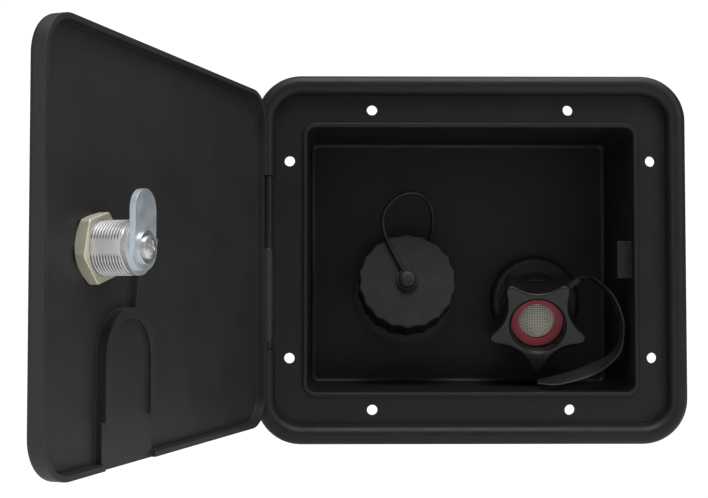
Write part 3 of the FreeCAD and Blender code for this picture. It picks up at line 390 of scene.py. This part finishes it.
mesh = bmesh.new()
rings = []
for j in range(1, pan_rings + 1):
    reach = pan_r * j / pan_rings
    rings.append(ring_of(mesh, pan_around, lambda share: about_y(reach, pan_height(reach, share), share)))
for reach, along in ((pan_r, 0.0), (shank_r, 0.0), (shank_r, -shank_long)):
    rings.append(ring_of(mesh, pan_around, lambda share: about_y(reach, along, share)))
skin_rings(mesh, rings)
mesh.faces.new(rings[-1])
middle = mesh.verts.new((0.0, pan_height(0.0, 0.0), 0.0))
for i in range(pan_around):
    mesh.faces.new((rings[0][i], rings[0][(i + 1) % pan_around], middle))
pan_screw = add_piece("pan_screw", mesh, [bright_steel], lock_at @ Matrix.Translation((0.0, pan_seat, 0.0)))
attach(pan_screw, "cam")
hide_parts("cam_screw")

# Gravity fill neck: moulded in black polypropylene, a little duller than the frame.
# Its flange is welded to the tub's back, and the hose spigot stands out behind.
dress("fill_neck", moulded_black("neck_black", 0.009, 0.5, 0.26))

# Fill cap: a polypropylene screw cap whose skirt has eighteen hollow flats for the fingers.
# The flats run through to the face, so its outline has a ridge at each corner.
fill_lean = math.radians(15.0)
fill_way = Vector((0.0, -math.cos(fill_lean), math.sin(fill_lean)))
fill_foot, cap_off = Vector((-0.028, 0.055, -0.017)), 0.012
cap_turn = Matrix(((1, 0, 0), fill_way.cross(Vector((1, 0, 0))), fill_way)).transposed().to_4x4()
cap_at = Matrix.Translation(fill_foot + fill_way * cap_off) @ cap_turn
cap_r, cap_high, flat_deep, flats, cap_around = 0.0243, 0.017, 0.0009, 18, 216
cap_side = [(0.0, 0.0003), (0.0003, 0.0), (0.0160, 0.0), (0.0165, 0.0002), (0.0168, 0.0005),
            (cap_high, 0.0010)]
cap_face = [(cap_high, 0.0190), (cap_high, 0.0080)]
cap_hollow = [(0.0144, 0.0080), (0.0144, 0.0192), (0.0140, 0.0200), (0.0, 0.0200)]


def about_z(reach, high, share):
    """A point at one reach from the Z axis, which is the cap's and the inlet's."""
    return reach * math.cos(share * math.tau), reach * math.sin(share * math.tau), high


def flat_reach(inset, share):
    """How far the cap's skirt reaches, with its hollow flats."""
    return cap_r - flat_deep * abs(math.cos(share * math.pi * flats)) - inset


mesh = bmesh.new()
outer = [ring_of(mesh, cap_around, lambda share: about_z(flat_reach(inset, share), high, share))
         for high, inset in cap_side]
outer += [ring_of(mesh, cap_around, lambda share: about_z(reach, high, share)) for high, reach in cap_face]
inner = [ring_of(mesh, cap_around, lambda share: about_z(reach, high, share)) for high, reach in cap_hollow]
skin_rings(mesh, outer)
mesh.faces.new(outer[-1])
mesh.faces.new(inner[0])
skin_rings(mesh, [*inner, outer[0]])
cap_black = moulded_black("cap_black", 0.0098, 0.46, grain_scale=1800.0, dusty=0.1)
scalloped_cap = add_piece("scalloped_cap", mesh, [cap_black], cap_at)
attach(scalloped_cap, "cap")
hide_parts("fill_cap")

# Stud in the middle of the cap: moulded with it, in the same polypropylene.
# Its low round head keeps the tether's eye on.
stud = [(0.0030, 0.0), (0.0030, 0.0031), (0.0041, 0.0033), (0.0043, 0.0037),
        (0.0040, 0.0042), (0.0030, 0.0046), (0.0016, 0.0048)]
stud_around = 48
mesh = bmesh.new()
rings = [ring_of(mesh, stud_around, lambda share: about_z(reach, cap_high + high, share))
         for reach, high in stud]
skin_rings(mesh, rings, smooth=True)
mesh.faces.new(rings[0])
mesh.faces.new(rings[-1])
tether_stud = add_piece("tether_stud", mesh, [cap_black], cap_at)
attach(tether_stud, "cap")
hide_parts("cap_stud")

# Cap tether: a soft moulded strap with a smooth, slightly shiny skin.
# One eye turns on the stud in the cap, and the other end is a flat ring round the neck.
strap_black = moulded_black("strap_black", 0.0095, 0.42, grain_scale=3200.0, grain_deep=0.00002)
dress("fill_tether", strap_black)

# City water inlet: a body moulded in black nylon, with an angled hub inside the tub.
# A six-sided nut behind the tub holds it, in a slightly greyer plastic.
dress("inlet_body", moulded_black("inlet_black", 0.009, 0.45, 0.26))
dress("tail_nut", moulded_black("tail_black", 0.014, 0.5))

# Swivel nut: a five-lobed hand nut in black nylon, with a smooth bore behind its threaded socket.
# It turns freely on the inlet's neck, behind a collar, and its rounded corners carry a painted highlight, a
# paler edge tone.
inlet_left, inlet_down = math.radians(6.0), math.radians(17.0)
inlet_foot = Vector((0.0385, 0.055, -0.020))
inlet_way = Vector((-math.tan(inlet_left), -1.0, -math.tan(inlet_down))).normalized()
inlet_at = Matrix.Translation(inlet_foot) @ inlet_way.to_track_quat("Z", "Y").to_matrix().to_4x4()
nut_from, nut_high, nut_r, nut_lobes, nut_around = 0.0208, 0.0200, 0.0243, 5, 360
hollow_off, hollow_r, tip_blend, nut_corner, corner_rows = 0.0347, 0.0185, 7, 0.0013, 8
nut_lean = Vector((0, 0, 1)).rotation_difference(inlet_way).to_matrix().to_4x4()
nut_turn = Matrix.Rotation(math.radians(12.2), 4, "Z")
nut_at = Matrix.Translation(inlet_foot + inlet_way * nut_from) @ nut_lean @ nut_turn


def lobe_reach(spot):
    """How far the nut reaches at an angle: a round that five hollows cut into."""
    half = math.pi / nut_lobes
    off = (spot + half) % (2 * half) - half
    clear = hollow_r ** 2 - (hollow_off * math.sin(off)) ** 2
    return nut_r if clear <= 0 else min(nut_r, hollow_off * math.cos(off) - math.sqrt(clear))


outline = []
weights = [tip_blend - abs(k) for k in range(-tip_blend, tip_blend + 1)]
for i in range(nut_around):
    near = [lobe_reach(math.tau * (i + k) / nut_around) for k in range(-tip_blend, tip_blend + 1)]
    reach = sum(w * r for w, r in zip(weights, near)) / sum(weights)
    outline.append(Vector(about_z(reach, 0.0, i / nut_around)))
outward = []
for i in range(nut_around):
    run = outline[(i + 1) % nut_around] - outline[i - 1]
    outward.append(Vector((run.y, -run.x, 0)).normalized())
skirt = [(0.0, 0.0006), (0.0002, 0.0002), (0.0006, 0.0)]
for k in range(corner_rows):
    bend = math.pi / 2 * k / (corner_rows - 1)
    skirt.append((nut_high - nut_corner * (1 - math.sin(bend)), nut_corner * (1 - math.cos(bend))))
mouth_r, thread_r, seat_r, neck_hole_r = 0.0140, 0.01335, 0.0130, 0.0106
thread_foot, seat_foot = nut_high - 0.0060, nut_high - 0.0130
socket = [(nut_high, mouth_r), (nut_high - 0.0006, thread_r), (thread_foot, thread_r), (thread_foot, seat_r),
          (seat_foot, seat_r), (seat_foot, neck_hole_r), (0.0, neck_hole_r)]
mesh = bmesh.new()
shell = [[mesh.verts.new(spot - away * inset + Vector((0, 0, high))) for spot, away in zip(outline, outward)]
         for high, inset in skirt]
bore = [ring_of(mesh, nut_around, lambda share: about_z(reach, high, share)) for high, reach in socket]
skin_rings(mesh, shell, smooth=True)
skin_rings(mesh, [shell[-1], *bore, shell[0]])
# The edge tone at six times the body's is a painted highlight along the lobes' rounded corners.
nut_black = moulded_black("nut_black", 0.0068, 0.3, 0.36, grain_scale=1500.0, edge=0.0008, wear_and_highlight_up=6.0)
hand_nut = add_piece("hand_nut", mesh, [nut_black], nut_at)
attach(hand_nut, "nut")
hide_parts("swivel_nut")

# Hose thread: the coarse female thread inside the swivel nut's socket, moulded with the nut.
# It takes the garden hose's male end and pulls that down on the washer.
socket_r, socket_from, socket_to = 0.0133, 0.0350, 0.0404
hose_pitch, hose_deep, hose_fade, hose_rows = 0.0022, 0.0007, 0.0008, 48


def hose_point(along, share):
    """A point of the thread, whose crest fades out at both ends of the socket."""
    fade = max(0.0, min(1.0, (along - socket_from) / hose_fade, (socket_to - along) / hose_fade))
    crest = hose_deep * (1.0 - thread_depth(along, share, hose_pitch)) * fade
    return about_z(socket_r - crest, along, share)


mesh = bmesh.new()
rings = []
for j in range(hose_rows + 1):
    along = socket_from + (socket_to - socket_from) * j / hose_rows
    rings.append(ring_of(mesh, around, lambda share: hose_point(along, share)))
skin_rings(mesh, rings, smooth=True, inward=True)
hose_thread = add_piece("hose_thread", mesh, [nut_black], inlet_at, face_out=False)
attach(hose_thread, "nut")

# Plug strap: a soft flat strap moulded in one piece with the ring that sits behind the swivel nut.
# It leaves the ring through a narrow neck, widens, and loops forward along the tub's wall to its floor.
side_wall, floor_z, tub_y, turn_z = 0.07255, -0.05835, 0.055, -0.020
ring_along, ring_r, ring_half, ring_thick = 0.0199, 0.01265, 0.0018, 0.00058
ring_around, ring_round = 72, 12
strap_thick, strap_round, strap_steps = 0.0013, 20, 10
ring_level = inlet_foot + inlet_way * ring_along
leave = Vector((0.75, 0.0, 0.66))
leave = (leave - inlet_way * leave.dot(inlet_way)).normalized()
flat_way = inlet_way.cross(leave)
route = [
    (ring_level + leave * 0.0129, flat_way, 0.0042),
    (ring_level + leave * 0.0195, flat_way, 0.0036),
    (ring_level + leave * 0.0258, flat_way, 0.0034),
    (Vector((side_wall - 0.0110, tub_y * 0.49, turn_z + 0.0118)), Vector((0.1, -1, -0.1)), 0.0042),
    (Vector((side_wall - 0.0065, tub_y * 0.364, turn_z + 0.0080)), Vector((0, -1, 0)), 0.0066),
    (Vector((side_wall - 0.0025, tub_y * 0.236, turn_z + 0.0015)), Vector((0, -1, 0)), 0.0084),
    (Vector((side_wall - 0.0002, tub_y * 0.145, turn_z - 0.0070)), Vector((0, -1, 0)), 0.0088),
    (Vector((side_wall, tub_y * 0.11, turn_z - 0.0140)), Vector((0, -1, 0)), 0.0088),
    (Vector((side_wall - 0.0028, tub_y * 0.118, floor_z + 0.0140)), Vector((0, -1, -0.25)), 0.0088),
    (Vector((side_wall - 0.0140, tub_y * 0.173, floor_z + 0.0060)), Vector((0, -0.8, -0.6)), 0.0088),
    (Vector((side_wall - 0.0285, tub_y * 0.2, floor_z + 0.0012)), Vector((0, -0.85, -0.5)), 0.0086),
    (Vector((side_wall - 0.0390, tub_y * 0.236, floor_z)), Vector((0, -0.97, -0.25)), 0.0062),
]


def between(a, b, c, d, t):
    """A smooth step from b to c that also heeds the neighbours a and d."""
    straight = (c - a) * (0.5 * t)
    bend = (a * 2 - b * 5 + c * 4 - d) * (0.5 * t * t)
    return b + straight + bend + (b * 3 - a - c * 3 + d) * (0.5 * t ** 3)


def soft_corners(share, half_wide, half_thick, wide_power, thin_power):
    """A point on the section of a flat strap with rounded edges, as its two offsets."""
    c, s = math.cos(math.tau * share), math.sin(math.tau * share)
    wide = math.copysign(abs(c) ** wide_power, c) * half_wide
    return wide, math.copysign(abs(s) ** thin_power, s) * half_thick


stations = []
last = len(route) - 1
for i in range(last):
    a, b, c, d = (route[max(0, min(last, i + k))] for k in (-1, 0, 1, 2))
    for j in range(strap_steps + (i == last - 1)):
        t = j / strap_steps
        ease = t * t * (3 - 2 * t)
        centre = between(a[0], b[0], c[0], d[0], t)
        stations.append((centre, b[1].lerp(c[1], ease), b[2] + (c[2] - b[2]) * ease))
mesh = bmesh.new()
rings = []
for i, (centre, wide, width) in enumerate(stations):
    along = (stations[min(i + 1, len(stations) - 1)][0] - stations[max(i - 1, 0)][0]).normalized()
    wide = (wide - along * wide.dot(along)).normalized()
    thin = along.cross(wide)
    ring = []
    for k in range(strap_round):
        c, s = soft_corners(k / strap_round, width / 2, strap_thick / 2, 0.45, 0.6)
        ring.append(mesh.verts.new(centre + wide * c + thin * s))
    rings.append(ring)
skin_rings(mesh, rings)
mesh.faces.new(rings[0])
mesh.faces.new(rings[-1])
ring_at = inlet_at @ Matrix.Translation((0, 0, ring_along))
rings = []
for i in range(ring_around):
    ring = []
    for k in range(ring_round):
        c, s = soft_corners(k / ring_round, ring_half, ring_thick, 0.5, 0.6)
        ring.append(mesh.verts.new(ring_at @ Vector(about_z(ring_r + c, s, i / ring_around))))
    rings.append(ring)
skin_rings(mesh, rings, closed=True)
for face in mesh.faces:
    face.smooth = True
plug_strap_loop = add_piece("plug_strap_loop", mesh, [strap_black])
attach(plug_strap_loop, "hatch")
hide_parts("plug_strap")

# Check valve: a moulded poppet that closes the inlet's bore, so that no water runs back out.
# It is pushed into the neck from the front and shows faintly through the strainer.
poppet_tip, poppet_back, poppet_around = 0.0230, 0.0160, 64
poppet = [(0.0022, 0.0229), (0.0044, 0.0225), (0.0058, 0.0217), (0.0062, 0.0206), (0.0062, 0.0200),
          (0.0068, 0.0199), (0.0073, 0.0195), (0.0074, 0.0190), (0.0074, 0.0166), (0.0070, 0.0160)]
mesh = bmesh.new()
rings = [ring_of(mesh, poppet_around, lambda share: about_z(reach, high, share)) for reach, high in poppet]
skin_rings(mesh, rings)
for ring, high in ((rings[0], poppet_tip), (rings[-1], poppet_back)):
    middle = mesh.verts.new((0.0, 0.0, high))
    for i in range(poppet_around):
        mesh.faces.new((ring[i], ring[(i + 1) % poppet_around], middle))
for face in mesh.faces:
    face.smooth = True
check_valve = add_piece("check_valve", mesh, [moulded_black("valve_black", 0.02, 0.5, dusty=0.0)], inlet_at)
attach(check_valve, "hatch")

# Hose washer: a flat ring of red moulded rubber, seated on the inlet's collar.
# The hose's end presses on it and makes the joint tight.
red, tree, skin = new_finish("red_rubber")
skin.inputs["Specular IOR Level"].default_value = 0.4
pits = place_group(tree, grain, Grain_Scale=3000.0, Patch_Scale=300.0)
film = place_group(tree, dust, Amount=0.2)
tone = mix_colours(tree, (0.23, 0.018, 0.03), (0.31, 0.026, 0.043))
pale = mix_colours(tree, second=(0.5, 0.3, 0.3))
dull = patchy_sheen(tree, 0.42, 0.56)
bump = add_node(tree, "ShaderNodeBump", Strength=0.3, Distance=0.00004)
wire(tree,
     (pits, "Patch", tone, "Factor"), (tone, "Result", pale, "A"), (film, "Mask", pale, "Factor"),
     (pale, "Result", skin, "Base Color"),
     (pits, "Patch", dull, "Value"), (dull, "Result", skin, "Roughness"),
     (pits, "Height", bump, "Height"), (bump, "Normal", skin, "Normal"))
dress("inlet_washer", red)

# Strainer: a domed disc of woven stainless wire pressed into the washer.
# Each wire passes over and under the ones that cross it, and a round wire binds the edge.
screen_r, screen_rise, screen_seat = 0.0085, 0.0030, 0.0312
weave_pitch, wire_r, weave_steps, rim_points = 0.00080, 0.00017, 4, 64
ball_r = (screen_r ** 2 + screen_rise ** 2) / (2 * screen_rise)


def dome_height(x, y):
    """The height of the strainer's dome over its edge."""
    return math.sqrt(ball_r ** 2 - x * x - y * y) - (ball_r - screen_rise)


strainer = bpy.data.curves.new("strainer_weave", "CURVE")
strainer.dimensions = "3D"
strainer.bevel_depth = wire_r
strainer.bevel_resolution = 1
count = int(screen_r / weave_pitch)
for way in (0, 1):
    for k in range(-count, count + 1):
        offset = k * weave_pitch
        reach = math.sqrt(max(0.0, screen_r ** 2 - offset ** 2))
        if reach < weave_pitch:
            continue
        steps = max(weave_steps, int(2 * reach / (weave_pitch / weave_steps)))
        spline = strainer.splines.new("POLY")
        spline.points.add(steps)
        for i in range(steps + 1):
            along = -reach + 2 * reach * i / steps
            weave = math.cos(along / weave_pitch * math.pi + (k + way) * math.pi) * wire_r
            x, y = (along, offset) if way == 0 else (offset, along)
            spline.points[i].co = (x, y, dome_height(x, y) + weave, 1)
rim = strainer.splines.new("POLY")
rim.points.add(rim_points - 1)
for i in range(rim_points):
    rim.points[i].co = (*about_z(screen_r, 0.0, i / rim_points), 1)
rim.use_cyclic_u = True
strainer_weave = bpy.data.objects.new("strainer_weave", strainer)
bpy.context.scene.collection.objects.link(strainer_weave)
strainer_weave.matrix_world = inlet_at @ Matrix.Translation((0, 0, screen_seat))
woven_wire = plated_metal("woven_wire", (0.8, 0.78, 0.68), (0.66, 0.65, 0.56), 0.62, cast_lines, 0.45)
strainer.materials.append(woven_wire)
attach(strainer_weave, "hatch")
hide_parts("inlet_screen")

# Studio: a plain pale floor and a white surround, with soft boxes above, in front and at both sides.
# Floor and surround look white to the camera but light the part only softly.
# The camera stands at the photograph's angle.
floor_low, floor_half, seen_white, surround_light = -0.16, 6.0, 1.1, 0.2


def white_to_camera(tree, lit, seen, output):
    """Show one shader to the camera, and let the other light the part."""
    path = tree.nodes.new("ShaderNodeLightPath")
    pick = tree.nodes.new("ShaderNodeMixShader")
    tree.links.new(path.outputs["Is Camera Ray"], pick.inputs["Fac"])
    tree.links.new(lit.outputs[0], pick.inputs[1])
    tree.links.new(seen.outputs[0], pick.inputs[2])
    tree.links.new(pick.outputs["Shader"], tree.nodes[output].inputs["Surface"])


pale_floor, tree, skin = new_finish("pale_floor")
set_values(skin, {"Base_Color": (0.92, 0.92, 0.92, 1), "Roughness": 0.9})
glow = add_node(tree, "ShaderNodeEmission", Strength=seen_white)
white_to_camera(tree, skin, glow, "Material Output")
mesh = bmesh.new()
bmesh.ops.create_grid(mesh, x_segments=2, y_segments=2, size=floor_half)
floor_at = Matrix.Translation((0.0, 0.0, floor_low))
studio_floor = add_piece("studio_floor", mesh, [pale_floor], floor_at, face_out=False)

world = bpy.data.worlds.new("white_surround")
bpy.context.scene.world = world
world.use_nodes = True
lit = world.node_tree.nodes["Background"]
set_values(lit, {"Color": (1, 1, 1, 1), "Strength": surround_light})
seen = add_node(world.node_tree, "ShaderNodeBackground", Color=(1, 1, 1, 1), Strength=seen_white)
white_to_camera(world.node_tree, lit, seen, "World Output")


def soft_box(name, place, aim, size, power):
    """A rectangular lamp that faces the place it is aimed at."""
    lamp = bpy.data.lights.new(name, "AREA")
    lamp.shape = "RECTANGLE"
    lamp.size, lamp.size_y = size
    lamp.energy = power
    made = bpy.data.objects.new(name, lamp)
    bpy.context.scene.collection.objects.link(made)
    made.location = place
    made.rotation_euler = (Vector(aim) - Vector(place)).to_track_quat("-Z", "Y").to_euler()


soft_box("box_above", (0.1, -0.25, 1.1), (0.0, 0.0, -0.1), (1.6, 1.2), 16.0)
soft_box("box_key", (0.06, -0.55, 0.95), (0.03, 0.0, -0.02), (0.4, 0.3), 3.0)
soft_box("box_left", (-0.9, -0.95, 0.22), (-0.12, -0.1, 0.0), (0.7, 0.9), 2.4)
soft_box("box_right", (0.75, -0.7, 0.35), (-0.15, -0.1, 0.02), (0.6, 0.6), 2.0)

camera = bpy.data.cameras.new("photo_camera")
camera.sensor_width = 36.0
camera.lens = 57.97
photo_camera = bpy.data.objects.new("photo_camera", camera)
bpy.context.scene.collection.objects.link(photo_camera)
photo_camera.location = (-0.0592, -0.5344, -0.0141)
photo_camera.rotation_euler = (math.radians(92.04), 0.0, math.radians(-0.51))
bpy.context.scene.camera = photo_camera
bpy.context.scene.view_settings.view_transform = "Standard"
